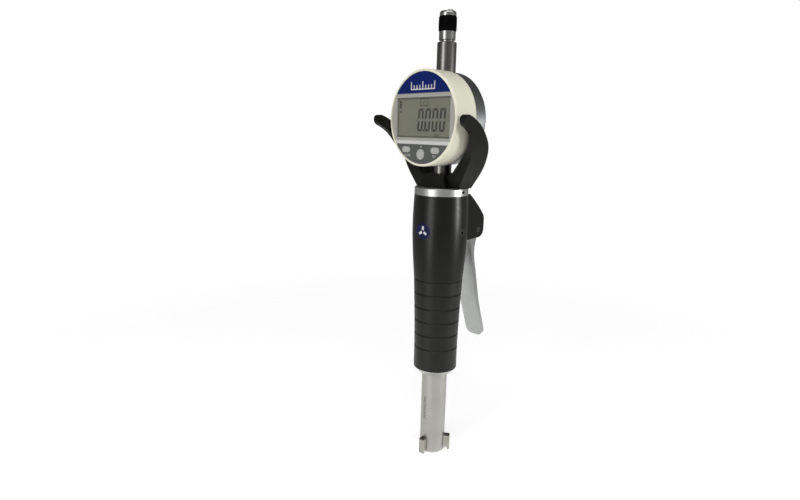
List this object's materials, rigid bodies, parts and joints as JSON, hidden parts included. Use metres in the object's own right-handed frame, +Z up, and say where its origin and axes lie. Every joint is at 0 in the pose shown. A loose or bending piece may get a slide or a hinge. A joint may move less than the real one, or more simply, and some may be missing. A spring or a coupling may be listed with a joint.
{
  "type": "three-point bore gauge with digital indicator",
  "caption": "Hand-held bore gauge: lever-operated self-centring measuring head on a gripped handle, with a round digital indicator held in a two-armed yoke.",
  "frame": {"origin": "centre of the end face of the measuring head", "axes": "+Z up along the gauge axis to the lift cap, -Y out of the handle front with the emblem, +Y towards the trigger, +X the right-hand side seen from the front; the indicator is turned 6.5 degrees about Z in its clamp so its face looks along -Y and slightly -X"},
  "size_m": [0.0714, 0.078, 0.2944],
  "materials": {
    "head_steel": "satin ground",
    "plate_steel": "ground",
    "anvil_steel": "hardened, ground",
    "pad_carbide": "lapped carbide",
    "rod_steel": "ground",
    "bush_brass": "turned",
    "spring_steel": "drawn wire",
    "bright_aluminium": "turned, bright",
    "core_aluminium": "turned",
    "grip_rubber": "matt",
    "handle_black": "satin moulded",
    "black_metal": "satin black",
    "screw_black": "black oxide",
    "screw_steel": "bright",
    "lever_aluminium": "satin blasted",
    "emblem_blue": "gloss",
    "housing_white": "semi gloss",
    "housing_metal": "turned",
    "plate_blue": "satin",
    "face_grey": "satin",
    "panel_blue": "gloss film",
    "panel_grey": "film",
    "button_grey": "semi gloss",
    "lens_clear": "clear",
    "display_green": "matt display",
    "board_green": "solder mask",
    "sensor_black": "moulded",
    "battery_steel": "bright",
    "tube_steel": "turned",
    "cap_steel": "turned",
    "cap_black": "fluted",
    "scale_glass": "etched"
  },
  "bodies": {
    "frame": {"arm_tie_rods": "screw_steel", "back_plate": "plate_blue", "back_plate_screws": "screw_steel", "battery": "battery_steel", "battery_cover": "sensor_black", "blue_panel": "panel_blue", "circuit_board": "board_green", "collar_ring": "bright_aluminium", "core_tube": "core_aluminium", "emblem_disc": "emblem_blue", "end_plate_screws": "screw_steel", "face_panel": "face_grey", "front_housing": "housing_white", "grip_sleeve": "grip_rubber", "handle_body": "handle_black", "head_body": "head_steel", "head_end_plate": "plate_steel", "housing_screws": "screw_black", "indicator_stem": "tube_steel", "key_panel": "panel_grey", "lcd_module": "display_green", "lens_window": "lens_clear", "nose_collar": "bright_aluminium", "plunger_bushes": "bush_brass", "read_head": "sensor_black", "rear_housing": "housing_metal", "ring_grub_screw": "screw_black", "ring_screws": "screw_steel", "rod_bushes": "bush_brass", "side_screws": "screw_black", "stem_clamp_screw": "screw_black", "top_tube": "tube_steel", "trigger_housing": "black_metal", "trigger_pivot_pin": "screw_black", "yoke_arm_left": "black_metal", "yoke_arm_right": "black_metal", "yoke_block": "black_metal"},
    "trigger": {"trigger_lever": "lever_aluminium"},
    "rod_train": {"measuring_cone": "rod_steel", "head_rod": "rod_steel", "push_rod": "rod_steel", "drive_collar": "rod_steel", "main_spring": "spring_steel"},
    "plunger_train": {"plunger": "rod_steel", "contact_point": "pad_carbide", "linear_scale": "scale_glass", "plunger_spring": "spring_steel", "lift_cap": "cap_steel", "lift_grip": "cap_black", "lift_dome": "cap_steel"},
    "front_anvil": {"anvil_front": "anvil_steel", "anvil_pad_front": "pad_carbide"},
    "right_anvil": {"anvil_right": "anvil_steel", "anvil_pad_right": "pad_carbide"},
    "left_anvil": {"anvil_left": "anvil_steel", "anvil_pad_left": "pad_carbide"},
    "mode_key": {"mode_button": "button_grey"},
    "set_key": {"set_button": "button_grey"},
    "centre_key": {"centre_button": "button_grey"}
  },
  "joints": [
    {"name": "trigger_pull", "type": "hinge", "parent": "frame", "child": "trigger", "pos_m": [0, 0.031, 0.1562], "axis": [-1, 0, 0], "range_deg": [0, 10.3], "stiffness_Nm_per_rad": 1.5, "springref_deg": -5.73},
    {"name": "rod_slide", "type": "slide", "parent": "frame", "child": "rod_train", "axis": [0, 0, 1], "range_m": [0, 0.0051], "deforming": ["main_spring"]},
    {"name": "plunger_slide", "type": "slide", "parent": "frame", "child": "plunger_train", "axis": [0, 0, 1], "range_m": [0, 0.0051], "deforming": ["plunger_spring"]},
    {"name": "front_anvil_slide", "type": "slide", "parent": "frame", "child": "front_anvil", "axis": [0, 1, 0], "range_m": [0, 0.0026]},
    {"name": "right_anvil_slide", "type": "slide", "parent": "frame", "child": "right_anvil", "axis": [-0.866, -0.5, 0], "range_m": [0, 0.0026]},
    {"name": "left_anvil_slide", "type": "slide", "parent": "frame", "child": "left_anvil", "axis": [0.866, -0.5, 0], "range_m": [0, 0.0026]},
    {"name": "mode_button_press", "type": "slide", "parent": "frame", "child": "mode_key", "axis": [0.1132, 0.9936, 0], "range_m": [0, 0.0006], "stiffness_N_per_m": 400, "springref_m": -0.0002},
    {"name": "set_button_press", "type": "slide", "parent": "frame", "child": "set_key", "axis": [0.1132, 0.9936, 0], "range_m": [0, 0.0006], "stiffness_N_per_m": 400, "springref_m": -0.0002},
    {"name": "centre_button_press", "type": "slide", "parent": "frame", "child": "centre_key", "axis": [0.1132, 0.9936, 0], "range_m": [0, 0.0006], "stiffness_N_per_m": 400, "springref_m": -0.0002}
  ],
  "couplings": [
    {"joint": "rod_slide", "follows": "trigger_pull", "m_per_rad": 0.02787},
    {"joint": "plunger_slide", "follows": "trigger_pull", "m_per_rad": 0.02787},
    {"joint": "front_anvil_slide", "follows": "trigger_pull", "m_per_rad": 0.013935},
    {"joint": "right_anvil_slide", "follows": "trigger_pull", "m_per_rad": 0.013935},
    {"joint": "left_anvil_slide", "follows": "trigger_pull", "m_per_rad": 0.013935}
  ]
}
